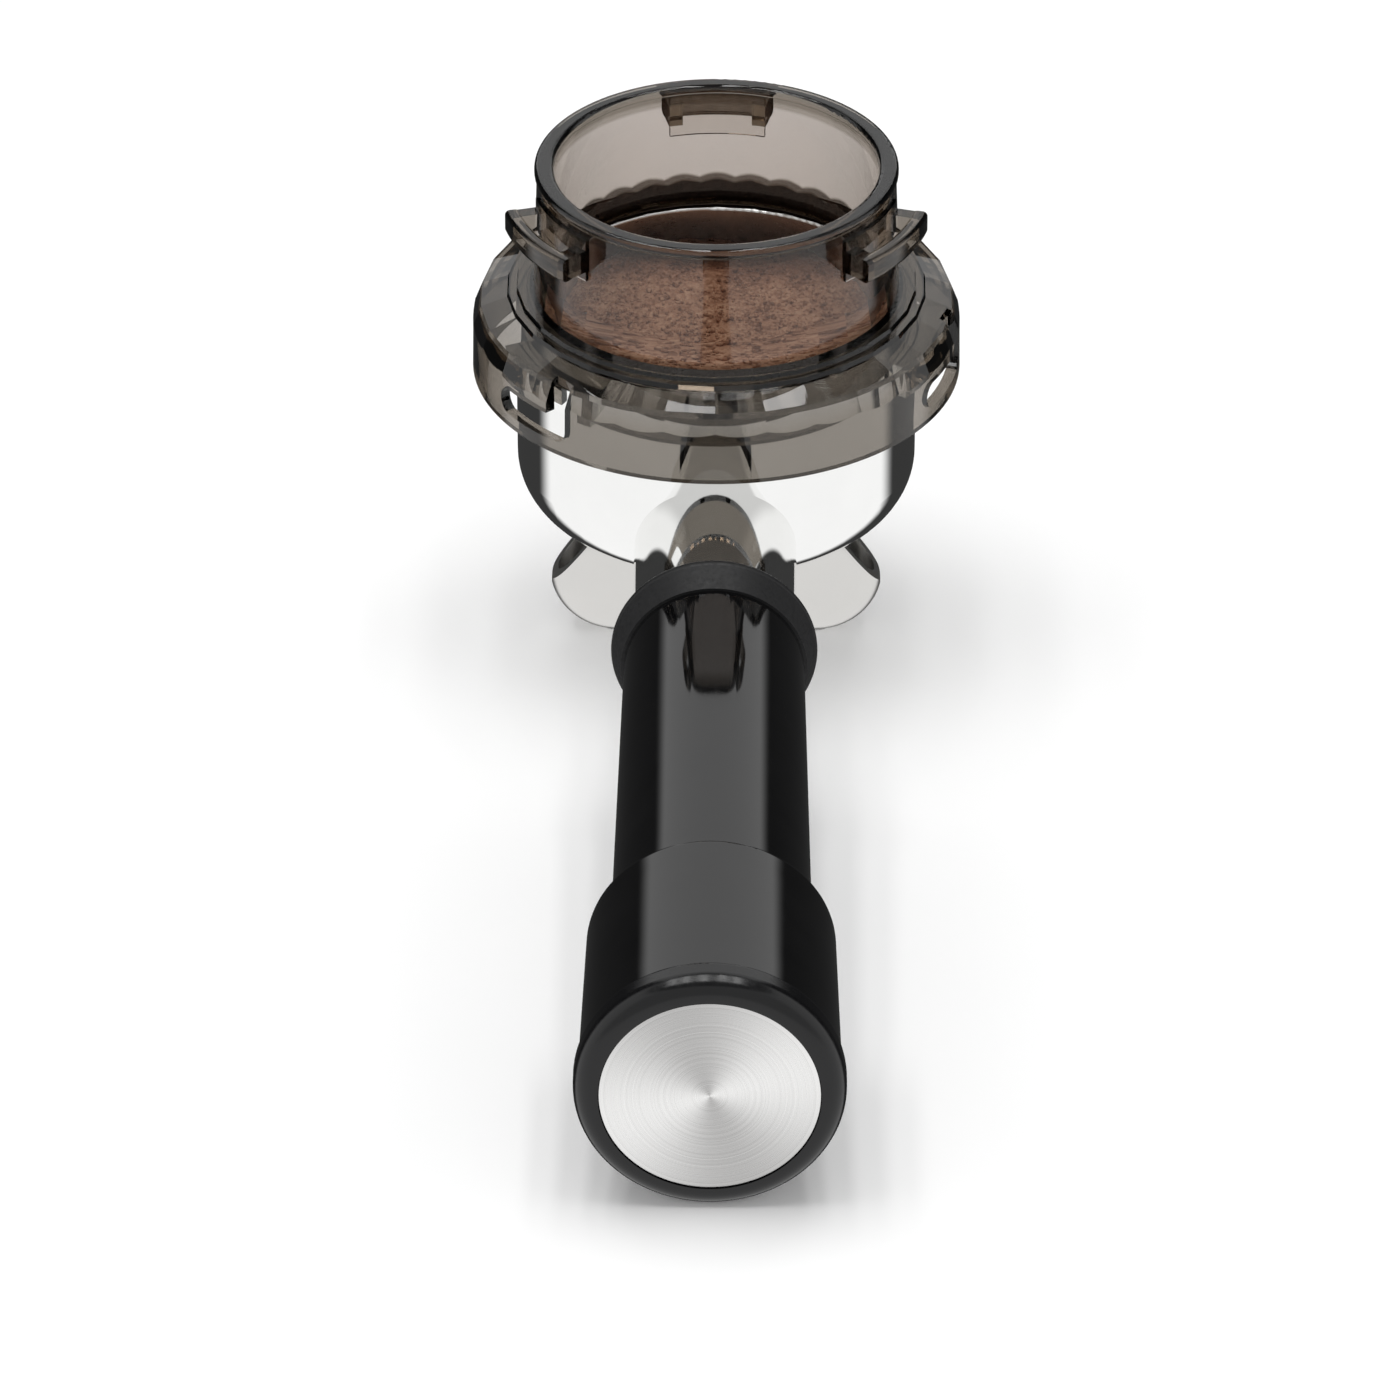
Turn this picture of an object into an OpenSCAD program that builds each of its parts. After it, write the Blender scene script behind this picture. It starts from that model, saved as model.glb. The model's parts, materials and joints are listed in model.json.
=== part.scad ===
// A 54 mm class espresso portafilter with a clear dosing funnel fitted.
// Millimetres. +Z is up along the basket's axis, the handle runs towards -Y,
// and the origin is on that axis, level with the basket's rim.

/* [Basket] */
// Inside diameter of the basket at its mouth
basket_bore = 54.3; // [48:0.1:62]
// Sheet thickness of the basket
basket_wall = 0.6; // [0.4:0.1:1.2]
// Depth of the basket from its rim to the inside of its floor
basket_depth = 24; // [18:0.5:29]
// How far the basket's flange stands out past its wall
flange_w = 2.6; // [1.8:0.1:4]
// Thickness of the basket's flange
flange_t = 1.2; // [0.8:0.1:2]
// Radius between the basket's wall and its floor
basket_corner = 4; // [2:0.5:6]
// Diameter of one hole in the basket's floor
hole_d = 1; // [0.6:0.1:1.4]
// Distance between the rings of holes
hole_pitch = 3; // [2.4:0.1:4]
// Number of rings of holes around the middle one
hole_rings = 6; // [3:1:6]

// Radius on the edge of the basket's mouth
mouth_round = 0.5; // [0.3:0.1:0.8]

/* [Head] */
// Thickness of the head's wall
head_wall = 3.7; // [2.8:0.1:4.5]
// Height of the head from its rim to the outer edge of its floor
head_h = 37; // [33:0.5:46]
// Radius between the head's wall and its floor
head_corner = 9.5; // [6:0.5:12]
// How far the floor falls from its outer edge to its middle
floor_fall = 1.2; // [0.6:0.1:2]
// Thickness of the head's floor
floor_t = 3.2; // [2.4:0.1:5]
// Number of bayonet lugs
lug_count = 3; // [2:1:3]
// How far a lug stands out past the head's wall
lug_out = 4.3; // [3:0.1:5]
// Height of a lug
lug_h = 4.6; // [3.5:0.1:6]
// Depth of a lug's top below the head's rim
lug_drop = 1.4; // [1:0.1:3]
// Angle that one lug covers
lug_angle = 34; // [24:1:44]
// Direction of the first lug, from +X
lug_from = 101; // [90:1:112]
// Radial gap between the basket and the head's bore
basket_gap = 0.6; // [0.4:0.05:1.2]

// Depth of the head's bore below the basket's floor
bore_below = 2; // [1:0.5:3]

/* [Chamber insert] */
// Wall of the insert that lines the chamber under the basket
insert_wall = 1.6; // [1:0.1:2.2]
// How far the insert's rim stays below the foot of the head's bore
insert_drop = 0.5; // [0.3:0.1:1.5]

/* [Basket spring] */
// Wire diameter of the ring that holds the basket
wire_d = 1.2; // [0.8:0.1:1.6]
// Depth of the wire below the head's rim
wire_drop = 8; // [5:0.5:12]
// Angle that the open ring covers
wire_angle = 334; // [300:1:345]
// Gap between the wire and what is around it
wire_gap = 0.1; // [0.05:0.01:0.2]

/* [Spout] */
// Diameter of the outlet's thread in the head
thread_d = 16.6; // [13:0.1:18]
// Radial gap in the outlet's thread
thread_gap = 0.05; // [0.02:0.01:0.1]
// Diameter of the outlet boss under the head, and of the spout's body
boss_d = 22; // [19.5:0.5:26]
// Height of the outlet boss below the head's floor
boss_h = 1.6; // [1:0.1:3]
// Thickness of the spout's gasket
gasket_t = 1; // [0.6:0.1:1.6]
// How far the gasket's edge stays inside the boss
gasket_edge = 0.6; // [0.3:0.1:1]
// Diameter of the passage down the spout
passage_d = 10; // [7:0.5:11]
// Radius of one trough, seen along the handle
trough_r = 10.8; // [9:0.1:13]
// Distance from the spout's middle to a trough's middle
trough_x = 16.2; // [14:0.1:19]
// Depth of a trough's middle below the gasket
trough_drop = 9.8; // [8:0.1:14]
// Width of a trough over its walls
trough_w = 9; // [8:0.1:13]
// Wall of a trough
trough_wall = 1.3; // [1:0.1:2]
// Slope of a trough's open edge
trough_slope = 52; // [45:1:60]
// Height of the open edge over the trough's middle, square to the edge
trough_open = 7.6; // [5:0.1:8]
// Radius of the tip between the open edge and the round one
tip_r = 2.6; // [1.5:0.1:3.5]
// Diameter of the outlet in a trough
outlet_d = 5; // [3.5:0.1:6]

/* [Neck] */
// Depth of the handle's axis below the basket's rim
axis_drop = 31; // [29:0.5:34]
// Diameter of the neck
neck_d = 25.8; // [22:0.2:28]
// Distance from the basket's axis to the round root of the neck
neck_root = 24; // [22:0.5:28]
// Distance from the basket's axis to the end of the neck
neck_end = 57; // [50:0.5:66]
// Width of the groove at the end of the neck
groove_w = 1; // [0.6:0.1:1.6]
// Depth of that groove
groove_h = 0.7; // [0.3:0.1:1.2]
// How far the ferrule stands out past the neck
ferrule_lip = 0.8; // [0.3:0.1:1.4]
// Thickness of the ferrule
ferrule_t = 1.2; // [0.8:0.1:2]
// Diameter of the spigot that the handle sits on
spigot_d = 17; // [15.5:0.5:18]
// Length of that spigot past the ferrule
spigot_l = 12; // [9:0.5:14]

/* [Collar] */
// Largest diameter of the collar
collar_d = 32.2; // [30:0.2:36]
// How far the collar stands out past the grip where they meet
collar_lip = 0.45; // [0.2:0.05:0.8]
// Length of the collar
collar_l = 6.6; // [5:0.2:9]
// Radius on the collar's edge
collar_round = 1.2; // [0.6:0.1:1.6]
// Section diameter of the seal between the spigot and the core
seal_d = 1.2; // [0.8:0.1:1.4]

/* [Grip] */
// Diameter of the front grip next to the collar
front_d = 28.1; // [27:0.1:28.6]
// Diameter of the front grip next to the rear grip
front_d2 = 30.1; // [29.2:0.1:31]
// Length of the front grip that shows
front_l = 77.2; // [55:0.2:95]
// Diameter of the rear grip at its shoulder
rear_d = 37; // [34:0.2:38]
// How far the end ring stands out past the rear grip
ring_lip = 0.65; // [0.3:0.05:1.2]
// Length of the rear grip
rear_l = 34.5; // [26:0.5:42]
// Radius on the rear grip's shoulder
shoulder_round = 1.2; // [0.6:0.1:2]
// Length of the front grip held inside the rear one
tail_l = 8; // [5:0.5:10]
// Step down from the front grip to its held end
tail_step = 0.8; // [0.5:0.1:1.2]
// Length of the space behind the core, in front of the end ring's plug
bolt_room = 10; // [9:0.5:13]
// Wall of the core around the spigot
core_wall = 2; // [1.4:0.1:2.6]
// Gap between the grips and what they sit on
grip_gap = 0.05; // [0.02:0.01:0.1]

/* [Handle bolt] */
// Diameter of the bolt that clamps the handle to the neck
bolt_d = 8; // [6:1:8]
// Depth of the bolt's thread in the neck
bolt_grip = 18; // [14:1:20]
// Diameter of the bolt's head
bolt_head_d = 13; // [12:0.5:14]
// Height of the bolt's head
bolt_head_h = 8; // [5:0.5:8]
// Size across the corners of the socket in the bolt's head
socket_d = 6.9; // [5:0.1:7]
// Thickness of the flat washer
washer_t = 1.6; // [1:0.1:2.5]
// Outer diameter of the flat washer
washer_d = 17; // [15:0.5:18]
// Thickness of the spring washer
lock_t = 2; // [1.4:0.1:2.4]
// Outer diameter of the spring washer
lock_d = 13; // [12:0.1:14.5]
// Radial gap between the bolt and its flat washer
bolt_gap = 0.2; // [0.1:0.05:0.4]
// Width of the cut in the spring washer
lock_cut = 1; // [0.6:0.1:1.6]
// Slant of that cut
lock_slant = 20; // [10:1:30]
// Diameter of the pins that stop the handle turning
pin_d = 2; // [1.5:0.1:2.2]
// Length of those pins
pin_l = 8; // [5:0.5:8]

/* [End cap] */
// Width of the end ring around the disc
ring_rim = 3.65; // [3.3:0.05:5]
// Length of the end ring
ring_l = 6; // [5:0.1:8]
// Radius on the end ring's outer edge
ring_round = 3; // [2:0.1:3.4]
// Radius on the end ring's front edge
ring_round_front = 1; // [0.6:0.1:1.4]
// Diameter of the brushed disc
disc_d = 32.1; // [28:0.1:33]
// Thickness of the disc
disc_t = 1; // [0.6:0.1:1.5]
// Depth of the disc's face below the end ring's edge
disc_sink = 0.3; // [0.1:0.1:0.6]
// Thickness of the pad that holds the disc
pad_t = 0.5; // [0.3:0.1:0.8]
// How far the pad stays inside the disc's edge
pad_edge = 1; // [0.5:0.1:2]
// Radial gap around the disc
disc_gap = 0.15; // [0.05:0.05:0.3]
// Length of the plug that holds the end ring in the rear grip
plug_l = 5; // [3:0.5:6]
// Diameter of that plug
plug_d = 29; // [26:0.5:30]
// Wall of that plug
plug_wall = 2.5; // [1.6:0.1:3]

/* [Dosing funnel] */
// Height of the funnel's rim over the basket's rim
funnel_h = 23; // [16:0.5:34]
// Width of the funnel's rim
rim_w = 3.1; // [2.8:0.1:4]
// Height of the bead on the rim
bead_h = 1.8; // [1.6:0.1:3]
// How far the tube's inside stands in from the basket's bore
tube_inset = 1.35; // [0.8:0.05:3]
// Wall of the tube under the rim
tube_wall = 2.7; // [2:0.1:2.8]
// How much further the tube stands out at its foot
tube_flare = 0.7; // [0.2:0.1:1.4]
// Height of the faceted throat inside the tube's foot
throat_h = 6.5; // [4:0.5:9]
// Number of facets round the shoulder
facets = 30; // [20:2:40]
// Gap between the basket's bore and the throat's foot
throat_gap = 0.3; // [0.1:0.1:0.6]
// Radial gap between the lugs and the skirt
skirt_gap = 0.85; // [0.4:0.05:2]
// Depth of the skirt's hem below the basket's rim
skirt_drop = 13; // [11:0.5:18]
// Wall of the skirt
skirt_wall = 1.85; // [1.4:0.05:2.4]
// Height of the step between the tube and the shoulder
step_h = 0.7; // [0.4:0.1:1]
// Width of the lower step, out from the upper one
step_w = 1.5; // [1:0.1:2.2]
// How far each step's face leans in
step_lean = 0.25; // [0.1:0.05:0.4]
// Thickness of the shoulder's plate at the tube
plate_t = 2; // [1.6:0.1:3]
// Depth of the knee between the flat facets and the steep ones
knee_drop = 1; // [0.5:0.1:2]
// How far the knee stands in from the hem
knee_in = 1.3; // [1:0.1:2]
// Depth where the facets have run out past the round skirt
facet_drop = 5.5; // [4:0.1:7]
// How far the skirt draws in towards the shoulder
skirt_draft = 0.15; // [0.05:0.05:0.3]
// Radial gap between the head and the inside of the shoulder
shoulder_gap = 0.9; // [0.5:0.1:1.4]
// Gap between the lugs and the inside of the shoulder
lug_gap = 0.3; // [0.2:0.1:0.8]

/* [Funnel windows] */
// Direction of the first window's open end, from +X
window_from = 89.2; // [80:0.2:100]
// Angle that one window covers
window_angle = 23.3; // [18:0.1:28]
// Height of a window below its tab
window_h = 4.4; // [3:0.1:5]
// Height of the wall under a window
window_sill = 2.2; // [1.6:0.1:3]
// Angle of the upright leg beside the tab
leg_angle = 5.8; // [3:0.1:7]
// Depth of the leg's top below the basket's rim
leg_top = 0.5; // [0.3:0.1:1.5]

/* [Finger loops] */
// Number of finger loops
loop_count = 3; // [2:1:3]
// How far a loop's bar stands out from the tube
loop_out = 5.9; // [4.8:0.1:8]
// Radial thickness of the bar and width of the legs
loop_t = 2.4; // [1.6:0.1:3]
// Height of the bar
loop_h = 4; // [3:0.1:5]
// Radius on the bar's edges
loop_round = 0.8; // [0.4:0.1:1]
// Depth of the bar's top below the rim
loop_drop = 4.1; // [3:0.1:6]
// Angle that one loop covers
loop_angle = 32; // [24:1:40]
// Thickness of the pad under a loop
pad_out = 0.9; // [0.6:0.1:1.4]
// How far the pad reaches above and below the bar
pad_more = 1.6; // [1:0.1:2]

/* [Hidden] */
$fn = 96;
// small overlap that lets cutters run past a face
eps = 0.01;
// how far a cutter runs past what it cuts
past = 1;
// flat left in the middle of a rounded edge, each way
edge_flat = 0.1;
// the same flat, on a trough's rim
pod_flat = 0.3;
// angle of one step round a window's end
arc_step = 15;

// Basket and head
bore_r = basket_bore / 2;
basket_r = bore_r + basket_wall;
seat_z = -flange_t;
head_bore_r = basket_r + basket_gap;
head_r = head_bore_r + head_wall;
head_z = seat_z - head_h;
basket_z = -basket_depth - basket_wall;
chamber_z = head_z + floor_t;
lug_z = seat_z - lug_drop;
lug_r = head_r + lug_out;
wire_z = seat_z - wire_drop;
wire_r = basket_r + wire_gap + wire_d / 2;
bore_foot = basket_z - bore_below;
insert_r = head_bore_r - head_corner + floor_t;
insert_top = bore_foot - insert_drop;

// Spout
boss_z = head_z - floor_fall - boss_h;
spout_z = boss_z - gasket_t;
thread_r = thread_d / 2;
trough_z = spout_z - trough_drop;
spigot_top = chamber_z;

// Handle: every place along it is a distance from the basket's axis
ferrule_end = neck_end + ferrule_t;
ferrule_r = neck_d / 2 + ferrule_lip;
collar_end_r = front_d / 2 + collar_lip;
ring_r = disc_d / 2 + disc_gap + ring_rim;
rear_end_r = ring_r - ring_lip;
spigot_end = ferrule_end + spigot_l;
collar_end = ferrule_end + collar_l;
front_end = collar_end + front_l;
rear_end = front_end + rear_l;
handle_end = rear_end + ring_l;
disc_face = handle_end - disc_sink;
disc_back = disc_face - disc_t;
pad_back = disc_back - pad_t;
core_r = spigot_d / 2 + core_wall;
core_end = rear_end - plug_l - bolt_room;
washer_end = core_end + washer_t;
lock_end = washer_end + lock_t;
tail_d = front_d2 - 2 * tail_step;
bolt_tip = neck_end - bolt_grip;
bolt_r = bolt_d / 2;
core_hole_r = bolt_r + 2 * bolt_gap;
pin_ring = (spigot_d / 2 + core_hole_r) / 2;
pin_mid = spigot_end;

// Funnel
skirt_in = lug_r + skirt_gap;
skirt_r = skirt_in + skirt_wall;
tube_in = bore_r - tube_inset;
tube_r = tube_in + tube_wall;
foot_r = tube_r + tube_flare;
loop_r = tube_r + loop_out;
ceiling_r = head_r + shoulder_gap;
ceiling_z = lug_z + lug_gap;
outside_r = skirt_r + 3 * past;
step_r = head_r + step_w;
// half the width across a facet ring's flats, for one unit of its corners' radius
facet_in = cos(180 / facets);
window_bottom = -skirt_drop + window_sill;
window_top = window_bottom + window_h;
loop_top = funnel_h - loop_drop;
loop_bottom = loop_top - loop_h;

// Places something along the handle: local Z runs from the basket's axis out to the handle's end
module along_handle(at = 0) {
    translate([0, -at, -axis_drop]) rotate([90, 0, 0]) children();
}

// A ring of rectangular section, from one height to another
module ring(r_out, r_in, h) {
    difference() {
        cylinder(h = h, r = r_out);
        translate([0, 0, -past]) cylinder(h = h + 2 * past, r = r_in);
    }
}

// A rectangle with its corners rounded, for turning and extruding
module round_rect(w, h, r) {
    translate([r, 0]) square([w - 2 * r, h]);
    translate([0, r]) square([w, h - 2 * r]);
    for (x = [r, w - r], y = [r, h - r]) translate([x, y]) circle(r);
}

// Half of a cup's outline: a wall with a round corner and a floor that falls to the middle
module cup_outline(r, top, bottom, corner, fall) {
    flat_r = r - corner;
    translate([0, bottom + corner]) square([r, top - bottom - corner]);
    translate([0, bottom]) square([flat_r, corner + eps]);
    translate([flat_r, bottom + corner]) circle(corner);
    if (fall > 0) polygon([[0, bottom - fall], [flat_r / 2, bottom - fall], [flat_r, bottom], [0, bottom]]);
}

module cup_solid(r, top, bottom, corner, fall = 0) {
    rotate_extrude() intersection() {
        cup_outline(r, top, bottom, corner, fall);
        translate([0, bottom - fall - past]) square([r + past, top - bottom + fall + 2 * past]);
    }
}

// A sector of a ring, centred on a direction
module sector(r_in, r_out, z, h, angle, direction) {
    rotate([0, 0, direction - angle / 2])
        rotate_extrude(angle = angle)
            translate([r_in, z]) square([r_out - r_in, h]);
}

module head() {
    color("gainsboro")
        difference() {
            union() {
                cup_solid(head_r, seat_z, head_z, head_corner, floor_fall);
                translate([0, 0, boss_z]) cylinder(h = chamber_z - boss_z, d = boss_d);
                along_handle(neck_root) sphere(d = neck_d);
                along_handle(neck_root) cylinder(h = neck_end - neck_root, d = neck_d);
                along_handle(neck_end - eps) cylinder(h = spigot_end - neck_end + eps, d = spigot_d);
                for (i = [0 : lug_count - 1])
                    sector(head_r - head_wall / 2, lug_r, lug_z - lug_h, lug_h, lug_angle,
                        lug_from + i * 360 / lug_count);
            }
            head_cavity();
            along_handle(neck_end - 2 * groove_w) ring(neck_d, neck_d / 2 - groove_h, groove_w);
            along_handle(bolt_tip) cylinder(h = spigot_end, r = bolt_r);
            pin_holes();
        }
}

// What is cut out of the head: the bore, the wire's groove and the outlet
module head_cavity() {
    translate([0, 0, bore_foot]) cylinder(h = past - bore_foot, r = head_bore_r);
    cup_solid(insert_r, bore_foot + eps, chamber_z, floor_t);
    translate([0, 0, boss_z - past]) cylinder(h = chamber_z - boss_z + 2 * past, r = thread_r);
    translate([0, 0, wire_z - wire_d / 2 - wire_gap])
        ring(wire_r + wire_d / 2 + wire_gap, head_bore_r - past, wire_d + 2 * wire_gap);
}

module pin_holes() {
    along_handle(pin_mid - pin_l / 2)
        for (side = [-1, 1]) translate([side * pin_ring, 0, 0]) cylinder(h = pin_l, d = pin_d);
}

module chamber_insert() {
    color("dimgray")
        difference() {
            cup_solid(insert_r - thread_gap, insert_top, chamber_z, floor_t);
            translate([0, 0, insert_wall])
                cup_solid(insert_r - insert_wall, insert_top + past, chamber_z, floor_t);
            translate([0, 0, chamber_z - past]) cylinder(h = insert_wall + 2 * past, d = passage_d);
        }
}

module basket_spring() {
    color("silver")
        rotate([0, 0, 90 - wire_angle / 2])
            rotate_extrude(angle = wire_angle)
                translate([wire_r, wire_z]) circle(d = wire_d);
}

module filter_basket() {
    flange_root = basket_wall + flange_t;
    color("lightgray")
        difference() {
            union() {
                cup_solid(basket_r, 0, basket_z, basket_corner + basket_wall);
                rotate_extrude() translate([basket_r - flange_root, -flange_t])
                    round_rect(flange_w + flange_root, flange_t, flange_t / 2 - edge_flat);
            }
            cup_solid(bore_r, past, -basket_depth, basket_corner);
            rotate_extrude() difference() {
                translate([bore_r - mouth_round, -mouth_round]) square([2 * mouth_round, mouth_round + past]);
                translate([bore_r + mouth_round, -mouth_round]) circle(mouth_round);
            }
            translate([0, 0, basket_z - past]) linear_extrude(basket_wall + 2 * past) basket_holes();
        }
}

module basket_holes() {
    circle(d = hole_d, $fn = 24);
    for (k = [1 : hole_rings], i = [0 : 6 * k - 1])
        rotate(i * 60 / k) translate([k * hole_pitch, 0]) circle(d = hole_d, $fn = 24);
}

module spout_gasket() {
    color("black") translate([0, 0, spout_z]) ring(boss_d / 2 - gasket_edge, thread_r, gasket_t);
}

// One trough is a round pod that is open along its upper edge
module spout() {
    color("gainsboro")
        difference() {
            union() {
                translate([0, 0, trough_z - 2 * trough_wall])
                    cylinder(h = spout_z - trough_z + 2 * trough_wall, d = boss_d);
                translate([0, 0, spout_z - eps])
                    cylinder(h = spigot_top - spout_z + eps, r = thread_r - thread_gap);
                for (side = [0, 1]) mirror([side, 0, 0]) pod(0);
            }
            translate([0, 0, trough_z]) cylinder(h = spigot_top - trough_z + past, d = passage_d);
            for (side = [0, 1]) mirror([side, 0, 0]) {
                pod(trough_wall);
                translate([-trough_x, trough_wall - trough_w / 2, trough_z])
                    cube([trough_x, trough_w - 2 * trough_wall, trough_r / 2]);
                translate([-trough_x, 0, trough_z - trough_r - past]) cylinder(h = trough_r, d = outlet_d);
            }
        }
}

// A wheel with a round rim, cut along the trough's open edge; inset shrinks it to its hollow
module pod(inset) {
    w = trough_w - 2 * inset;
    r = trough_r - inset;
    translate([-trough_x, 0, trough_z]) rotate([90, 0, 0]) intersection() {
        rotate_extrude() intersection() {
            translate([-r, -w / 2]) round_rect(2 * r, w, w / 2 - pod_flat);
            translate([0, -w]) square([r + past, 2 * w]);
        }
        if (inset == 0) translate([0, 0, -w]) linear_extrude(2 * w) pod_outline();
    }
}

// The trough seen along the handle: a circle, its open edge, and a round tip between them
module pod_outline() {
    run = sqrt(pow(trough_r - tip_r, 2) - pow(trough_open - tip_r, 2));
    tip = [-run, trough_open - tip_r];
    reach = (trough_r + 2 * past) / (trough_r - tip_r);
    rotate(trough_slope) {
        difference() {
            circle(trough_r);
            translate([-2 * trough_r, trough_open]) square([4 * trough_r, trough_r]);
            polygon([tip, tip + [0, 2 * tip_r], tip + [-2 * tip_r, 2 * tip_r], reach * tip]);
        }
        translate(tip) circle(tip_r);
    }
}

module neck_ferrule() {
    color("silver") along_handle(neck_end) ring(ferrule_r, spigot_d / 2 + grip_gap, ferrule_t);
}

module turn_pins() {
    color("silver") pin_holes();
}

module collar() {
    color([0.13, 0.13, 0.14])
        along_handle(ferrule_end)
            rotate_extrude() difference() {
                union() {
                    polygon([
                        [0, 0], [collar_d / 2 - collar_round, 0], [collar_d / 2, collar_round],
                        [collar_end_r, collar_l], [0, collar_l]
                    ]);
                    translate([collar_d / 2 - collar_round, collar_round]) circle(collar_round);
                }
                translate([-collar_d, -collar_d]) square([collar_d + core_r + grip_gap, 2 * collar_d]);
            }
}

module neck_seal() {
    color("black")
        along_handle(spigot_end - spigot_l / 2)
            rotate_extrude() translate([spigot_d / 2 + seal_d / 2, 0]) circle(d = seal_d, $fn = 32);
}

module handle_core() {
    color([0.25, 0.25, 0.26])
        difference() {
            along_handle(ferrule_end) cylinder(h = core_end - ferrule_end, r = core_r);
            along_handle(ferrule_end - past) cylinder(h = spigot_l + past, r = spigot_d / 2 + grip_gap);
            along_handle(spigot_end - (spigot_l + seal_d) / 2 - grip_gap)
                cylinder(h = seal_d + 2 * grip_gap, d = spigot_d + 2 * seal_d + 2 * grip_gap);
            along_handle(spigot_end - past) cylinder(h = core_end, r = core_hole_r);
            pin_holes();
        }
}

module grip_front() {
    color([0.04, 0.04, 0.04])
        along_handle(collar_end)
            difference() {
                union() {
                    cylinder(h = front_l, d1 = front_d, d2 = front_d2);
                    translate([0, 0, front_l - eps]) cylinder(h = tail_l, d = tail_d);
                }
                translate([0, 0, -past]) cylinder(h = front_l + tail_l + 2 * past, r = core_r + grip_gap);
            }
}

module grip_rear() {
    color([0.04, 0.04, 0.04])
        along_handle(front_end)
            difference() {
                rotate_extrude() union() {
                    polygon([
                        [0, 0], [rear_d / 2 - shoulder_round, 0], [rear_d / 2, shoulder_round],
                        [rear_end_r, rear_l], [0, rear_l]
                    ]);
                    translate([rear_d / 2 - shoulder_round, shoulder_round]) circle(shoulder_round);
                }
                translate([0, 0, -past]) cylinder(h = rear_l + 2 * past, r = core_r + grip_gap);
                translate([0, 0, -past]) cylinder(h = tail_l + grip_gap + past, d = tail_d + 2 * grip_gap);
                translate([0, 0, rear_l - plug_l - grip_gap]) cylinder(h = plug_l + past, d = plug_d);
            }
}

module bolt_washer() {
    color("silver") along_handle(core_end) ring(washer_d / 2, bolt_r + bolt_gap, washer_t);
}

module lock_washer() {
    color("gray")
        difference() {
            along_handle(washer_end) ring(lock_d / 2, bolt_r + bolt_gap / 2, lock_t);
            along_handle(washer_end + lock_t / 2)
                rotate([0, lock_slant, 0]) translate([-lock_cut / 2, 0, -lock_d / 2])
                    cube([lock_cut, lock_d, lock_d]);
        }
}

module handle_bolt() {
    color("darkgray")
        along_handle(bolt_tip) {
            cylinder(h = lock_end - bolt_tip, r = bolt_r);
            difference() {
                translate([0, 0, lock_end - bolt_tip]) cylinder(h = bolt_head_h, d = bolt_head_d);
                translate([0, 0, lock_end - bolt_tip + bolt_head_h / 2])
                    cylinder(h = bolt_head_h, d = socket_d, $fn = 6);
            }
        }
}

module end_ring() {
    color([0.09, 0.09, 0.1])
        along_handle(rear_end)
            difference() {
                union() {
                    rotate_extrude() difference() {
                        union() {
                            square([ring_r - ring_round, ring_l]);
                            translate([0, ring_round_front])
                                square([ring_r, ring_l - ring_round - ring_round_front]);
                            square([ring_r - ring_round_front, ring_round_front]);
                            translate([ring_r - ring_round_front, ring_round_front])
                                circle(ring_round_front);
                            translate([ring_r - ring_round, ring_l - ring_round]) circle(ring_round);
                        }
                        translate([-ring_r, 0]) square([ring_r, ring_l]);
                    }
                    translate([0, 0, -plug_l]) cylinder(h = plug_l + eps, d = plug_d - 2 * grip_gap);
                }
                translate([0, 0, pad_back - rear_end]) cylinder(h = ring_l, d = disc_d + 2 * disc_gap);
                translate([0, 0, -plug_l - past]) cylinder(h = plug_l + past, d = plug_d - 2 * plug_wall);
            }
}

module disc_pad() {
    color("white") along_handle(pad_back) cylinder(h = pad_t, d = disc_d - 2 * pad_edge);
}

module end_disc() {
    color("lightgray") along_handle(disc_back) cylinder(h = disc_t, d = disc_d);
}

// A stack of regular frustums: rings are [radius to a corner, height], from the bottom up
module facet_stack(rings, n) {
    last = len(rings) - 1;
    points = [for (ring = rings, i = [0 : n - 1])
        [ring[0] * cos(i * 360 / n), ring[0] * sin(i * 360 / n), ring[1]]];
    sides = [for (k = [0 : last - 1], i = [0 : n - 1])
        [k * n + i, k * n + (i + 1) % n, (k + 1) * n + (i + 1) % n, (k + 1) * n + i]];
    floor = [[for (i = [n - 1 : -1 : 0]) i]];
    roof = [[for (i = [0 : n - 1]) last * n + i]];
    faces = [for (f = concat(sides, floor, roof)) [for (j = [len(f) - 1 : -1 : 0]) f[j]]];
    polyhedron(points = points, faces = faces);
}

module dosing_funnel() {
    color([0.35, 0.33, 0.31, 0.6])
        difference() {
            union() {
                funnel_shell();
                for (i = [0 : loop_count - 1]) finger_loop(90 + i * 360 / loop_count);
            }
            funnel_hollow();
            for (i = [0 : lug_count - 1]) window(window_from + i * 360 / lug_count);
        }
}

module funnel_shell() {
    // the tube and its bead
    rotate_extrude() polygon([
        [tube_in, 0], [foot_r, 0], [foot_r, plate_t],
        [tube_r, funnel_h - bead_h + past / 2], [tube_in, funnel_h - bead_h + past / 2]
    ]);
    rotate_extrude() translate([tube_in, funnel_h - bead_h])
        round_rect(rim_w, bead_h, bead_h / 2 - edge_flat);
    // the faceted shoulder and its two steps, over the round skirt
    rotate([0, 0, 90]) intersection() {
        facet_stack([
            [outside_r, -skirt_drop - past],
            [outside_r, -facet_drop - past],
            [skirt_r / facet_in + 2 * edge_flat, -facet_drop],
            [skirt_r - knee_in, -knee_drop],
            [step_r, plate_t - 2 * step_h],
            [step_r - step_lean, plate_t - step_h],
            [head_r, plate_t - step_h],
            [head_r - step_lean, plate_t]
        ], facets);
        rotate_extrude() polygon([
            [0, -skirt_drop], [skirt_r, -skirt_drop],
            [skirt_r - skirt_draft, -facet_drop / 2],
            [skirt_r - skirt_draft, plate_t + past], [0, plate_t + past]
        ]);
    }
}

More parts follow.
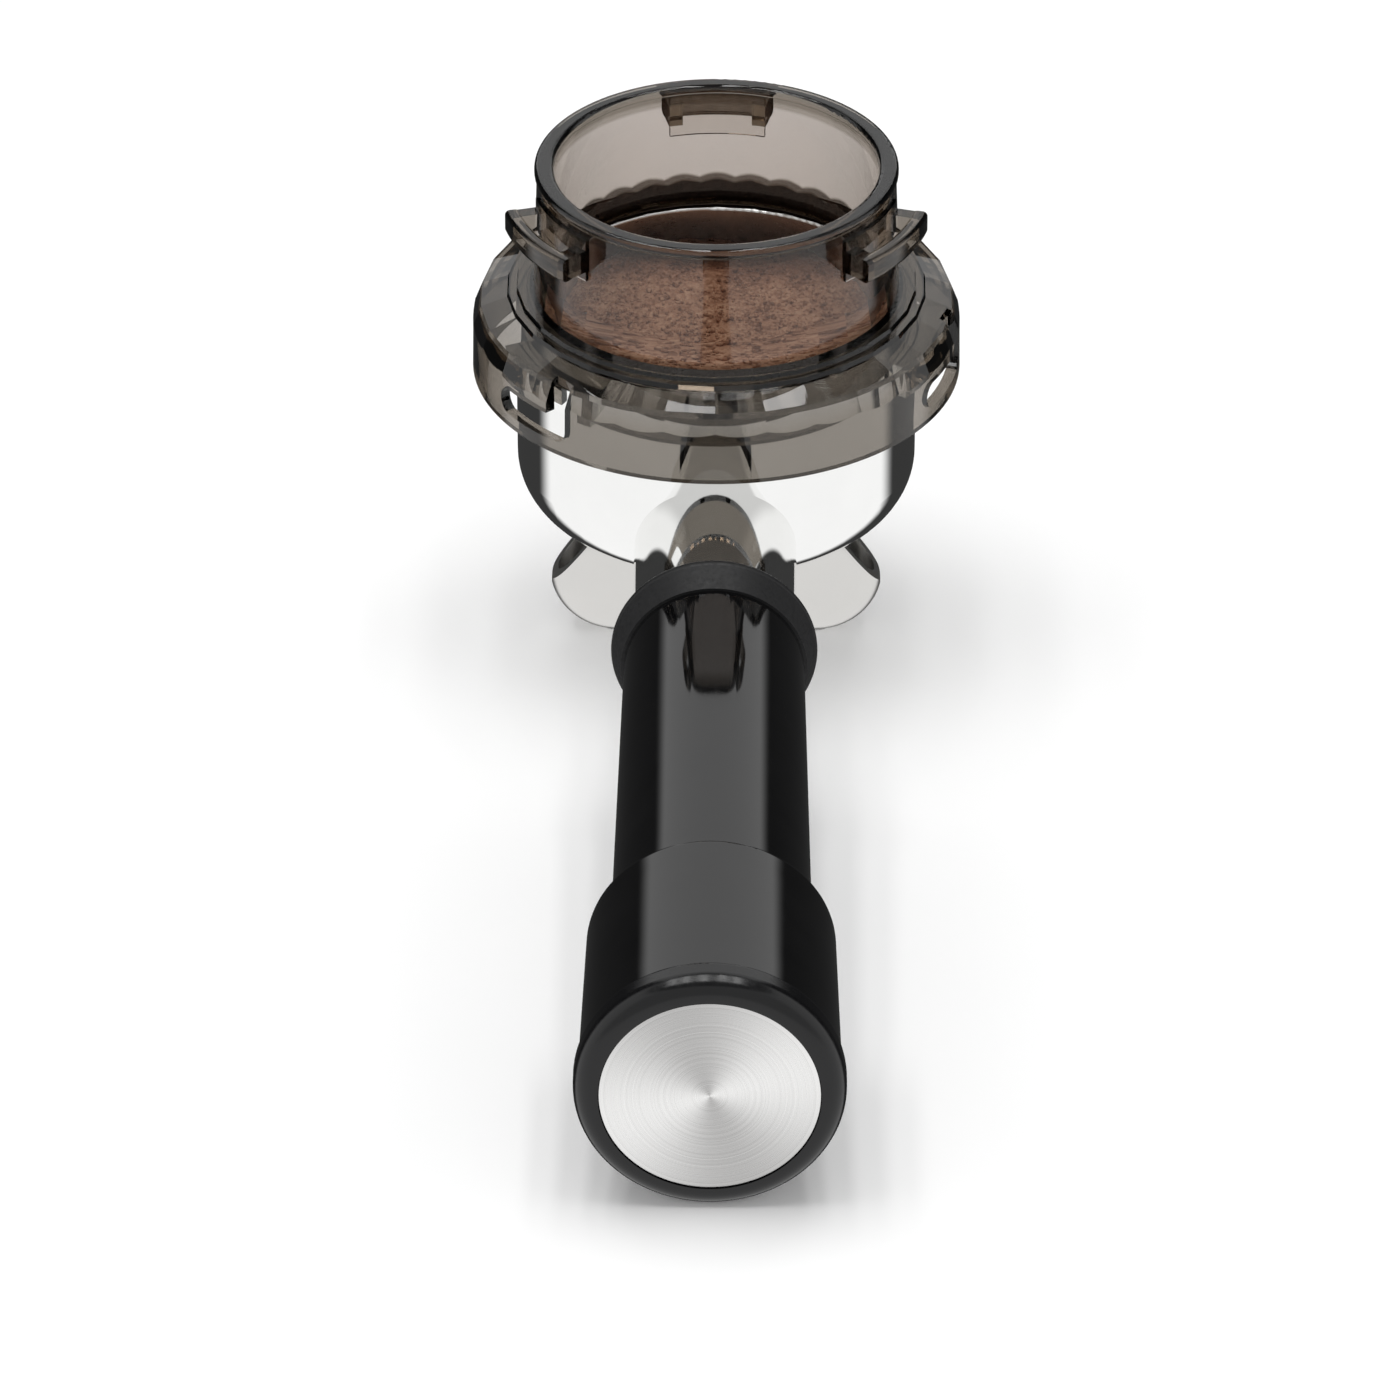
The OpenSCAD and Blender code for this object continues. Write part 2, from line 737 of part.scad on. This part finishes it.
module funnel_hollow() {
    cylinder(h = funnel_h - bead_h, r = tube_in);
    throat_r = bore_r + throat_gap;
    rotate([0, 0, 90])
        facet_stack([[throat_r, -past], [throat_r, 0], [tube_in - edge_flat, throat_h]], facets);
    rotate_extrude() polygon([
        [0, -skirt_drop - past], [skirt_in, -skirt_drop - past], [skirt_in, ceiling_z],
        [ceiling_r, 0], [0, 0]
    ]);
}

// An L-shaped opening that leaves a tab hanging over it, cut straight out from the axis
module window(direction) {
    r = window_h / 2;
    mid_z = (window_bottom + window_top) / 2;
    half = skirt_r * sin(window_angle / 2);
    leg = 2 * half * leg_angle / window_angle;
    closed_end = [for (a = [90 : arc_step : 270]) [-half + r + r * cos(a), mid_z + r * sin(a)]];
    leg_foot = [for (a = [270 : arc_step : 360]) [half - r + r * cos(a), mid_z + r * sin(a)]];
    leg_end = [[half, -leg_top], [half - leg, -leg_top], [half - leg, window_top]];
    rotate([0, 0, direction + window_angle / 2]) translate([skirt_in - past, 0, 0])
        rotate([90, 0, 90]) linear_extrude(2 * past + skirt_wall)
            polygon(concat(closed_end, leg_foot, leg_end));
}

module finger_loop(direction) {
    leg_from = (tube_in + tube_r) / 2;
    rotate([0, 0, direction - loop_angle / 2])
        rotate_extrude(angle = loop_angle)
            translate([loop_r - loop_t, loop_bottom]) round_rect(loop_t, loop_h, loop_round);
    for (side = [-1, 1])
        rotate([0, 0, direction + side * (loop_angle / 2 - asin((loop_t / 2 + edge_flat) / loop_r))])
            translate([leg_from, -loop_t / 2, loop_bottom + edge_flat])
                cube([loop_r - loop_t / 2 - leg_from, loop_t, loop_h - 2 * edge_flat]);
    sector(leg_from, tube_r + pad_out, loop_bottom - pad_more, loop_h + 2 * pad_more,
        loop_angle, direction);
}

head();
chamber_insert();
basket_spring();
filter_basket();
spout_gasket();
spout();
neck_ferrule();
turn_pins();
collar();
neck_seal();
handle_core();
grip_front();
grip_rear();
bolt_washer();
lock_washer();
handle_bolt();
end_ring();
disc_pad();
end_disc();
dosing_funnel();
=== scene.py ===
import json
import math
import random

import bmesh
import bpy
from mathutils import Matrix, Vector, noise


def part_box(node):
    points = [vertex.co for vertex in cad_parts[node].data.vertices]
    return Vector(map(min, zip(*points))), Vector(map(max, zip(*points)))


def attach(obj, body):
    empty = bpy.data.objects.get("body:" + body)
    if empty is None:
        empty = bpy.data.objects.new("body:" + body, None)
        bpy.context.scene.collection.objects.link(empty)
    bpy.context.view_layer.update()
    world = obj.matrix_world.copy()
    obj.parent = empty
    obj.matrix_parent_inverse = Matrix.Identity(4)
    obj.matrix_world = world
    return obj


MM = 0.001

# Camera: long lens, above the end of the handle
CAMERA_AT = Vector((5.7, -1254.3, 705.6)) * MM
CAMERA_TURN = math.radians(0.38)
CAMERA_PITCH = math.radians(31.97)
LENS = 231.4
SENSOR = 36.0

# The funnel's plastic: bending of light, colour and density of its absorption per metre
SMOKE_IOR = 1.49
SMOKE_ABSORBS = (0.53, 0.455, 0.36)
SMOKE_DENSITY = 400

# Its tint in the clear tube, in the thicker parts and in the throat's painted shade, and where on the ramp
# each stands
SMOKE_CLEAR = (0.82, 0.815, 0.85)
SMOKE_GREY = (0.37, 0.355, 0.335)
SMOKE_THROAT_SHADE = (0.035, 0.03, 0.027)
GREY_AT = 0.5
THROAT_SHADE_AT = 0.95
SMOKE_UNEVEN = 0.03

# The funnel's clear tube lies within this radius, above its foot and below its bead
TUBE_RADIUS = 29.3 * MM
TUBE_FOOT = 2.4 * MM
TUBE_HEAD = 3.4 * MM
TUBE_BLEND = 0.6 * MM

# Painted shade at the throat: the tube's back is painted dark, and its edge is scalloped like the facets
THROAT_HEIGHT = 5.8 * MM
THROAT_WAVE = 0.7 * MM
THROAT_START = 2 * MM
THROAT_FULL = 12 * MM
FACETS = 30

# Streaks in metals and mottle in plastics, to a metre
SMEAR_SCALE = 60
MOTTLE_SCALE = 140

# The end disc's circular brushing: fine rings and broad bands to a metre, how much each one
# shows, and the painted highlight wedges in its colour: how much they show and where they are brightest
RING_SCALE = 6500
BAND_SCALE = 2200
RING_SHARE = 0.5
BAND_SHARE = 0.2
PAINTED_WEDGE_SHARE = 0.3
PAINTED_WEDGE_TURN = math.radians(30)

# Coffee in the basket: its place, where its painted shade starts and where it is full towards the back, and
# its mesh
COFFEE_TOP = -5.2 * MM
COFFEE_DEPTH = 12 * MM
COFFEE_EDGE_GAP = 0.12 * MM
COFFEE_SAG = 0.5
COFFEE_SHADE_START = 9 * MM
COFFEE_SHADE_FULL = 21 * MM
COFFEE_RINGS = 54
COFFEE_SPOKES = 168

# Lumps in the coffee: how many to a millimetre, how tall in millimetres, where each pattern starts
COFFEE_LUMPS = (
    (0.06, 0.9, (3.1, 7.7, 0)),
    (0.35, 0.55, (1.3, 0.4, 2.0)),
    (1.3, 0.28, (0, 0, 0)),
    (3.1, 0.14, (5, 5, 5)),
)

# Loose grains: how many, their sizes, how few are large, and how they are squeezed, bent, raised and turned
GRAINS = 2600
GRAIN_SEED = 11
GRAIN_SMALL = 0.22 * MM
GRAIN_LARGE = 0.62 * MM
GRAIN_BIAS = 2.5
GRAIN_SQUEEZE = ((0.7, 1.2), (0.6, 1.0), (0.5, 0.9))
GRAIN_BEND = (0.82, 1.15)
GRAIN_LIFT = (-0.2, 0.35)
GRAIN_TURN = 6.3

# The table: its size, the light it gives of its own, and the steepest way the handle could lean
FLOOR_SIZE = 6
FLOOR_CELLS = 8
FLOOR_GLOW = 0.08
STEEPEST = math.radians(12)
HALVINGS = 30

# A row of strip lights overhead: where each one is along X, then what they share
STRIPS = (-0.72, -0.44, -0.12, 0.22, 0.5)
STRIP_SIZE = (0.15, 1.2)
STRIP_BACK = 0.05
STRIP_HEIGHT = 1.5
STRIP_POWER = 3.6

# Where the studio's shades start and end, along the axes of a unit direction
BACKDROP_SIDE = (0.44, 0.50)
BACKDROP_FOOT = (0.10, 0.20)
BACKDROP_FACE = (0.30, 0.50)
FRONT_FACE = (-0.25, -0.55)
FRONT_FOOT = (-0.12, 0.02)
FRONT_TOP = (0.80, 0.62)
CEILING = (0.70, 0.78)

# How dark it is beside and below the backdrop, in front above the table, and on the ceiling
BAND_DARK = 0.96
FRONT_DARK = 0.3
CEILING_DARK = 0.75

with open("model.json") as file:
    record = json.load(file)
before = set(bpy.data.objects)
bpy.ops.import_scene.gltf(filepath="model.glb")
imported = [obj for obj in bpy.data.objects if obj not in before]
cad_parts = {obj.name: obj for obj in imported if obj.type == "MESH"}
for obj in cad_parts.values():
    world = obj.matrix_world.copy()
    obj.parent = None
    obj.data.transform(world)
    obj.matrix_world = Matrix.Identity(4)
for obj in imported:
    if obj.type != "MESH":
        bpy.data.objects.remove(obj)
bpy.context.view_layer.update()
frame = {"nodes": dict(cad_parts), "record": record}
nodes = frame["nodes"]


# ---------------------------------------------------------------- shader helpers


class Nodes:
    """A material with short ways to add and link its nodes."""

    def __init__(self, name):
        self.material = bpy.data.materials.new(name)
        self.material.use_nodes = True
        self.tree = self.material.node_tree
        self.shader = self.tree.nodes["Principled BSDF"]
        self.where = self.add("ShaderNodeTexCoord").outputs["Object"]

    def add(self, kind, **settings):
        node = self.tree.nodes.new(kind)
        for key, value in settings.items():
            setattr(node, key, value)
        return node

    def link(self, out, into):
        self.tree.links.new(out, into)

    def set(self, **values):
        for key, value in values.items():
            name = key.replace("_", " ")
            if isinstance(value, tuple) and len(value) == 3:
                value = (*value, 1)
            self.shader.inputs[name].default_value = value

    def noise(self, scale, detail=3, stretch=None, rough=0.55):
        node = self.add("ShaderNodeTexNoise")
        node.inputs["Scale"].default_value = scale
        node.inputs["Detail"].default_value = detail
        node.inputs["Roughness"].default_value = rough
        at = self.where
        if stretch:
            at = self.mapped(at, stretch)
        self.link(at, node.inputs["Vector"])
        return node.outputs["Fac"]

    def mapped(self, at, stretch):
        node = self.add("ShaderNodeMapping")
        node.inputs["Scale"].default_value = stretch
        self.link(at, node.inputs["Vector"])
        return node.outputs["Vector"]

    def ramp(self, fac, low, high, start=0.0, end=1.0):
        node = self.add("ShaderNodeMapRange")
        node.inputs["From Min"].default_value = start
        node.inputs["From Max"].default_value = end
        node.inputs["To Min"].default_value = low
        node.inputs["To Max"].default_value = high
        self.link(fac, node.inputs["Value"])
        return node.outputs["Result"]

    def colours(self, fac, *stops):
        node = self.add("ShaderNodeValToRGB")
        elements = node.color_ramp.elements
        while len(elements) < len(stops):
            elements.new(0.5)
        for element, (place, colour) in zip(elements, stops):
            element.position = place
            element.color = (*colour, 1)
        self.link(fac, node.inputs["Fac"])
        return node.outputs["Color"]

    def bump(self, height, distance, strength=1.0):
        node = self.add("ShaderNodeBump")
        node.inputs["Distance"].default_value = distance
        node.inputs["Strength"].default_value = strength
        self.link(height, node.inputs["Height"])
        self.link(node.outputs["Normal"], self.shader.inputs["Normal"])
        return node

    def math(self, operation, *values):
        node = self.add("ShaderNodeMath", operation=operation)
        for socket, value in zip(node.inputs, values):
            if isinstance(value, (int, float)):
                socket.default_value = value
            else:
                self.link(value, socket)
        return node.outputs[0]

    def about_z(self):
        """Distance from the basket's axis, angle about it, height, and place along Y."""
        parts = self.add("ShaderNodeSeparateXYZ")
        self.link(self.where, parts.inputs["Vector"])
        x, y, z = (parts.outputs[name] for name in "XYZ")
        radius = self.math("SQRT", self.math("ADD", self.math("MULTIPLY", x, x), self.math("MULTIPLY", y, y)))
        return radius, self.math("ARCTAN2", y, x), z, y

    def into(self, out, name):
        self.link(out, self.shader.inputs[name])


def metal(name, colour, rough, streak=None, bump=0.0, grain=900.0, spread=0.4):
    """Polished or satin metal: fine variation in its gloss, with streaks if it was brushed."""
    m = Nodes(name)
    m.set(Metallic=1.0)
    smear = m.noise(SMEAR_SCALE, 4)
    fine = m.noise(grain, 3, streak)
    low = tuple(c * 0.96 for c in colour)
    m.into(m.colours(smear, (0.35, low), (0.7, colour)), "Base Color")
    gloss = m.math("ADD", m.ramp(smear, -0.3, 0.3), m.ramp(fine, -0.7, 0.7))
    m.into(m.ramp(gloss, rough * (1 - spread), rough * (1 + spread), -1, 1), "Roughness")
    if bump:
        m.bump(fine, bump)
    return m.material


def plastic(name, colour, rough, grain=1500.0, bump=0.0, spread=0.3, specular=0.5):
    """Moulded plastic or rubber: a faint mottle, and fine texture in its gloss and surface."""
    m = Nodes(name)
    m.set(Specular_IOR_Level=specular)
    mottle = m.noise(MOTTLE_SCALE, 5)
    fine = m.noise(grain, 2)
    high = tuple(min(1.0, c * 1.25 + 0.001) for c in colour)
    m.into(m.colours(mottle, (0.3, colour), (0.75, high)), "Base Color")
    m.into(m.ramp(fine, rough * (1 - spread), rough * (1 + spread), 0.25, 0.75), "Roughness")
    if bump:
        m.bump(fine, bump)
    return m.material


def throat_shade(m, radius, angle, height, back):
    """Painted shade: nothing in the clear tube, rising to one in the scalloped throat at its back."""
    wave = m.math("ABSOLUTE", m.math("SINE", m.math("MULTIPLY", angle, FACETS / 2)))
    edge = m.math("ADD", m.math("MULTIPLY", wave, THROAT_WAVE), THROAT_HEIGHT)
    under = m.ramp(m.math("SUBTRACT", edge, height), 0, 1, 0, TUBE_BLEND)
    at_back = m.ramp(back, 0, 1, THROAT_START, THROAT_FULL)
    in_tube = m.ramp(radius, 1, 0, TUBE_RADIUS, TUBE_RADIUS + TUBE_BLEND)
    return m.math("MULTIPLY", m.math("MULTIPLY", under, at_back), in_tube)


def smoke_plastic(name):
    """Clear smoke-grey moulded plastic: it darkens with its thickness, its throat's back has painted shade,
    and wear shows in its gloss.
    """
    m = Nodes(name)
    m.set(Transmission_Weight=1.0, IOR=SMOKE_IOR, Specular_IOR_Level=0.4)
    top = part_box("dosing_funnel")[1].z - TUBE_HEAD
    radius, angle, height, back = m.about_z()
    outside = m.ramp(radius, 0, 1, TUBE_RADIUS, TUBE_RADIUS + TUBE_BLEND)
    below = m.ramp(height, 1, 0, TUBE_FOOT - TUBE_BLEND, TUBE_FOOT)
    above = m.ramp(height, 0, 1, top, top + TUBE_BLEND)
    thick = m.math("MAXIMUM", outside, m.math("MAXIMUM", below, above))
    uneven = m.ramp(m.noise(30, 2), 0, SMOKE_UNEVEN)
    tint = m.math("ADD", m.math("MULTIPLY", thick, GREY_AT), uneven)
    # Painted shade: the throat's back is painted near black
    shade = m.math("MAXIMUM", tint, throat_shade(m, radius, angle, height, back))
    stops = ((0.0, SMOKE_CLEAR), (GREY_AT, SMOKE_GREY), (THROAT_SHADE_AT, SMOKE_THROAT_SHADE))
    m.into(m.colours(shade, *stops), "Base Color")
    m.into(m.ramp(m.noise(700, 4), 0.0, 0.05, 0.45, 0.8), "Roughness")
    absorption = m.add("ShaderNodeVolumeAbsorption")
    absorption.inputs["Color"].default_value = (*SMOKE_ABSORBS, 1)
    absorption.inputs["Density"].default_value = SMOKE_DENSITY
    m.link(absorption.outputs["Volume"], m.tree.nodes["Material Output"].inputs["Volume"])
    return m.material


def spun_steel(name, centre_z):
    """The end disc: concentric brushing about the handle's axis, which scatters light in wedges, with painted
    highlight wedges in its colour as well.
    """
    m = Nodes(name)
    m.set(Metallic=1.0, Anisotropic=0.85)
    shift = m.add("ShaderNodeMapping")
    shift.inputs["Location"].default_value = (0, 0, -centre_z)
    m.link(m.where, shift.inputs["Vector"])
    parts = m.add("ShaderNodeSeparateXYZ")
    m.link(shift.outputs["Vector"], parts.inputs["Vector"])
    flat = m.add("ShaderNodeCombineXYZ")
    m.link(parts.outputs["X"], flat.inputs["X"])
    m.link(parts.outputs["Z"], flat.inputs["Y"])
    length = m.add("ShaderNodeVectorMath", operation="LENGTH")
    m.link(flat.outputs["Vector"], length.inputs[0])
    radius = length.outputs["Value"]
    rings = m.add("ShaderNodeTexNoise", noise_dimensions="1D")
    rings.inputs["Scale"].default_value = RING_SCALE
    rings.inputs["Detail"].default_value = 4
    m.link(radius, rings.inputs["W"])
    bands = m.add("ShaderNodeTexNoise", noise_dimensions="1D")
    bands.inputs["Scale"].default_value = BAND_SCALE
    m.link(radius, bands.inputs["W"])
    fine = m.math("MULTIPLY", rings.outputs["Fac"], RING_SHARE)
    broad = m.math("MULTIPLY", bands.outputs["Fac"], BAND_SHARE)
    # Painted highlight: the colour brightens and darkens in wedges, by twice the angle about the axis
    angle = m.math("ARCTAN2", parts.outputs["Z"], parts.outputs["X"])
    painted_wedge = m.math("COSINE", m.math("SUBTRACT", m.math("MULTIPLY", angle, 2.0), PAINTED_WEDGE_TURN))
    shade = m.math("ADD", m.math("ADD", fine, broad), m.math("MULTIPLY", painted_wedge, PAINTED_WEDGE_SHARE))
    m.into(m.colours(shade, (0.0, (0.44, 0.435, 0.43)), (0.75, (0.93, 0.925, 0.915))), "Base Color")
    m.into(m.ramp(rings.outputs["Fac"], 0.22, 0.36, 0.3, 0.7), "Roughness")
    tangent = m.add("ShaderNodeTangent", direction_type="RADIAL", axis="Y")
    m.link(tangent.outputs["Tangent"], m.shader.inputs["Tangent"])
    m.bump(rings.outputs["Fac"], 0.00001, 0.5)
    return m.material


def coffee_material(name):
    """Dry ground coffee: particles of several browns, rough all over, painted lighter at the front and with
    painted shade towards the back.
    """
    m = Nodes(name)
    m.set(Specular_IOR_Level=0.25)
    cells = m.add("ShaderNodeTexVoronoi")
    cells.inputs["Scale"].default_value = 1900
    m.link(m.where, cells.inputs["Vector"])
    pick = m.add("ShaderNodeSeparateColor")
    m.link(cells.outputs["Color"], pick.inputs["Color"])
    clumps = m.noise(260, 4)
    mixed = m.math("ADD", m.math("MULTIPLY", pick.outputs["Red"], 0.35), m.math("MULTIPLY", clumps, 0.7))
    back = m.about_z()[3]
    # Painted light and shade: the colour is painted lighter at the front and darker towards the back
    shade = m.math("MULTIPLY", mixed, m.ramp(back, 1.15, 0.1, COFFEE_SHADE_START, COFFEE_SHADE_FULL))
    m.into(
        m.colours(
            shade,
            (0.02, (0.012, 0.004, 0.002)),
            (0.30, (0.23, 0.10, 0.055)),
            (0.60, (0.50, 0.28, 0.18)),
            (0.98, (0.74, 0.49, 0.34)),
        ),
        "Base Color",
    )
    m.into(m.ramp(clumps, 0.75, 0.95), "Roughness")
    m.bump(cells.outputs["Distance"], 0.0002, 0.8)
    return m.material


# ---------------------------------------------------------------- materials by slot

disc_low, disc_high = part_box("end_disc")
AXIS_Z = (disc_low.z + disc_high.z) / 2

LOOKS = {
    "chrome": metal("chrome", (0.93, 0.93, 0.92), 0.045, bump=0.0000006),
    "satin_chrome": metal("satin_chrome", (0.68, 0.67, 0.65), 0.3, streak=(6, 1, 1), spread=0.08),
    "sheet_steel": metal("sheet_steel", (0.72, 0.71, 0.69), 0.30, streak=(1, 1, 8), bump=0.000002),
    "zinc_steel": metal("zinc_steel", (0.58, 0.58, 0.60), 0.32, bump=0.000004),
    "spun_steel": spun_steel("spun_steel", AXIS_Z),
    "gloss_black": plastic("gloss_black", (0.002, 0.002, 0.0022), 0.05, grain=220, spread=0.35),
    "satin_black": plastic("satin_black", (0.0025, 0.0025, 0.003), 0.2, bump=0.000001, specular=0.4),
    "collar_black": plastic("collar_black", (0.006, 0.006, 0.0065), 0.5, bump=0.000012, specular=0.35),
    "nylon": plastic("nylon", (0.03, 0.03, 0.032), 0.5, bump=0.00001),
    "seal_rubber": plastic("seal_rubber", (0.012, 0.012, 0.012), 0.7, bump=0.00001),
    "foam_pad": plastic("foam_pad", (0.7, 0.69, 0.66), 0.85, grain=2500, bump=0.00005),
    "smoke_clear": smoke_plastic("smoke_clear"),
    "coffee": coffee_material("coffee"),
}

for part in frame["record"]["subparts"]:
    obj = nodes[part["node"]]
    obj.data.materials.clear()
    obj.data.materials.append(LOOKS[part["material_slot"]])


# ---------------------------------------------------------------- ground coffee


def inner_radius(height):
    """The basket's inside radius at a height, from its own mesh."""
    near = [
        math.hypot(v.co.x, v.co.y)
        for v in nodes["filter_basket"].data.vertices
        if v.co.z > height
    ]
    return min(near)


def coffee_height(x, y, radius):
    """A loose, lumpy surface, a little lower at its edge."""
    at = Vector((x, y, 0)) / MM
    out = math.hypot(x, y) / radius
    lumps = sum(tall * noise.noise(at * often + Vector(start)) for often, tall, start in COFFEE_LUMPS)
    return COFFEE_TOP + (lumps - COFFEE_SAG * out**4) * MM


def coffee_bed(radius):
    """A closed bed of coffee: a lumpy top, a wall against the basket and a flat underside."""
    mesh = bmesh.new()
    rings = [[mesh.verts.new((0, 0, coffee_height(0, 0, radius)))]]
    for i in range(1, COFFEE_RINGS + 1):
        r = radius * i / COFFEE_RINGS
        ring = []
        for j in range(COFFEE_SPOKES):
            a = 2 * math.pi * j / COFFEE_SPOKES
            x, y = r * math.cos(a), r * math.sin(a)
            ring.append(mesh.verts.new((x, y, coffee_height(x, y, radius))))
        rings.append(ring)
    foot = [
        mesh.verts.new((v.co.x, v.co.y, COFFEE_TOP - COFFEE_DEPTH)) for v in rings[-1]
    ]
    rings.append(foot)
    n = COFFEE_SPOKES
    for j in range(n):
        mesh.faces.new((rings[0][0], rings[1][j], rings[1][(j + 1) % n]))
        for inner, outer in zip(rings[1:], rings[2:]):
            mesh.faces.new((inner[j], outer[j], outer[(j + 1) % n], inner[(j + 1) % n]))
    mesh.faces.new(list(reversed(foot)))
    bmesh.ops.recalc_face_normals(mesh, faces=mesh.faces)
    return mesh


def add_grains(mesh, radius):
    """Loose grains of several sizes lying half sunk in the bed."""
    dice = random.Random(GRAIN_SEED)
    for _ in range(GRAINS):
        r = (radius - GRAIN_LARGE) * math.sqrt(dice.random())
        a = dice.uniform(0, 2 * math.pi)
        x, y = r * math.cos(a), r * math.sin(a)
        size = GRAIN_SMALL + (GRAIN_LARGE - GRAIN_SMALL) * dice.random() ** GRAIN_BIAS
        made = bmesh.ops.create_icosphere(mesh, subdivisions=1, radius=1.0)["verts"]
        turn = dice.uniform(0, GRAIN_TURN)
        axis = Vector((dice.random(), dice.random(), 1)).normalized()
        spin = Matrix.Rotation(turn, 3, axis)
        squeeze = Vector(dice.uniform(*span) for span in GRAIN_SQUEEZE)
        lift = coffee_height(x, y, radius) + size * dice.uniform(*GRAIN_LIFT)
        for v in made:
            bent = Vector(c * s * dice.uniform(*GRAIN_BEND) for c, s in zip(v.co, squeeze))
            v.co = spin @ (bent * size) + Vector((x, y, lift))


def make_coffee():
    """The coffee as one piece that moves with the basket."""
    radius = inner_radius(COFFEE_TOP - COFFEE_DEPTH) - COFFEE_EDGE_GAP
    mesh = coffee_bed(radius)
    add_grains(mesh, radius)
    data = bpy.data.meshes.new("ground_coffee")
    mesh.to_mesh(data)
    mesh.free()
    for polygon in data.polygons:
        polygon.use_smooth = True
    obj = bpy.data.objects.new("ground_coffee", data)
    bpy.context.scene.collection.objects.link(obj)
    data.materials.append(LOOKS["coffee"])
    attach(obj, "basket")


make_coffee()


# ---------------------------------------------------------------- floor, light and camera


def lowest(names, tilt):
    """Height of these nodes' lowest point, square to a floor that rises towards the handle's end."""
    up = Vector((0, math.sin(tilt), math.cos(tilt)))
    return min(up.dot(v.co) for name in names for v in nodes[name].data.vertices)


def resting_tilt():
    """The tilt at which the spout and the end ring touch one floor."""
    low, high = 0.0, STEEPEST
    for _ in range(HALVINGS):
        middle = (low + high) / 2
        if lowest(["spout"], middle) < lowest(["end_ring"], middle):
            low = middle
        else:
            high = middle
    return (low + high) / 2


def floor_material():
    """A white matt table with faint marks."""
    m = Nodes("floor")
    m.set(Roughness=0.6, Specular_IOR_Level=0.1, Emission_Color=(1, 1, 1), Emission_Strength=FLOOR_GLOW)
    m.into(m.colours(m.noise(8, 3), (0.3, (0.90, 0.90, 0.90)), (0.7, (0.93, 0.93, 0.93))), "Base Color")
    return m.material


def panel(name, size, at, toward, strength):
    """A soft light that the camera doesn't see."""
    light = bpy.data.lights.new(name, "AREA")
    light.shape = "RECTANGLE"
    light.size, light.size_y = size
    light.energy = strength
    obj = bpy.data.objects.new(name, light)
    obj.location = at
    obj.rotation_euler = (Vector(toward) - Vector(at)).to_track_quat("-Z", "Y").to_euler()
    obj.visible_camera = False
    bpy.context.scene.collection.objects.link(obj)
    return obj


tilt = resting_tilt()
floor_height = lowest(["spout", "end_ring"], tilt)
bpy.ops.mesh.primitive_grid_add(x_subdivisions=FLOOR_CELLS, y_subdivisions=FLOOR_CELLS, size=FLOOR_SIZE)
floor = bpy.context.active_object
floor.name = "floor"
floor.matrix_world = Matrix.Rotation(-tilt, 4, "X") @ Matrix.Translation((0, 0, floor_height))
floor.data.materials.append(floor_material())
floor.visible_glossy = False
floor.visible_diffuse = False
floor.visible_shadow = False


def studio_world():
    """White light all round, darker beside and below the backdrop, in front and on the ceiling."""
    world = bpy.data.worlds.new("studio")
    bpy.context.scene.world = world
    world.use_nodes = True
    tree = world.node_tree
    background = tree.nodes["Background"]
    where = tree.nodes.new("ShaderNodeTexCoord").outputs["Generated"]
    parts = tree.nodes.new("ShaderNodeSeparateXYZ")
    tree.links.new(where, parts.inputs["Vector"])
    x, y, z = (parts.outputs[name] for name in "XYZ")

    def step(out, limits):
        node = tree.nodes.new("ShaderNodeMapRange")
        node.interpolation_type = "SMOOTHSTEP"
        for key, value in zip(("From Min", "From Max"), limits):
            node.inputs[key].default_value = value
        tree.links.new(out, node.inputs["Value"])
        return node.outputs["Result"]

    def combine(operation, a, b):
        node = tree.nodes.new("ShaderNodeMath")
        node.operation = operation
        for socket, value in zip(node.inputs, (a, b)):
            if isinstance(value, (int, float)):
                socket.default_value = value
            else:
                tree.links.new(value, socket)
        return node.outputs[0]

    def dimmed(light, where, amount):
        return combine("MULTIPLY", light, combine("SUBTRACT", 1.0, combine("MULTIPLY", where, amount)))

    beside = step(combine("ABSOLUTE", x, 0.0), BACKDROP_SIDE)
    low = combine("SUBTRACT", 1.0, step(z, BACKDROP_FOOT))
    behind = combine("MULTIPLY", step(y, BACKDROP_FACE), combine("MAXIMUM", beside, low))
    facing = combine("MULTIPLY", step(z, FRONT_FOOT), step(z, FRONT_TOP))
    facing = combine("MULTIPLY", step(y, FRONT_FACE), facing)
    light = dimmed(1.0, behind, BAND_DARK)
    light = dimmed(light, facing, FRONT_DARK)
    light = dimmed(light, step(z, CEILING), CEILING_DARK)
    tree.links.new(light, background.inputs["Strength"])
    background.inputs["Color"].default_value = (1, 1, 1, 1)


studio_world()
for i, place in enumerate(STRIPS):
    panel(f"strip_{i}", STRIP_SIZE, (place, STRIP_BACK, STRIP_HEIGHT), (place, 0, 0), STRIP_POWER)

camera_data = bpy.data.cameras.new("camera")
camera_data.sensor_width = SENSOR
camera_data.lens = LENS
camera_data.clip_end = 20
camera = bpy.data.objects.new("camera", camera_data)
camera.location = CAMERA_AT
camera.rotation_euler = (math.pi / 2 - CAMERA_PITCH, 0, CAMERA_TURN)
bpy.context.scene.collection.objects.link(camera)
bpy.context.scene.camera = camera
bpy.context.scene.view_settings.view_transform = "Standard"
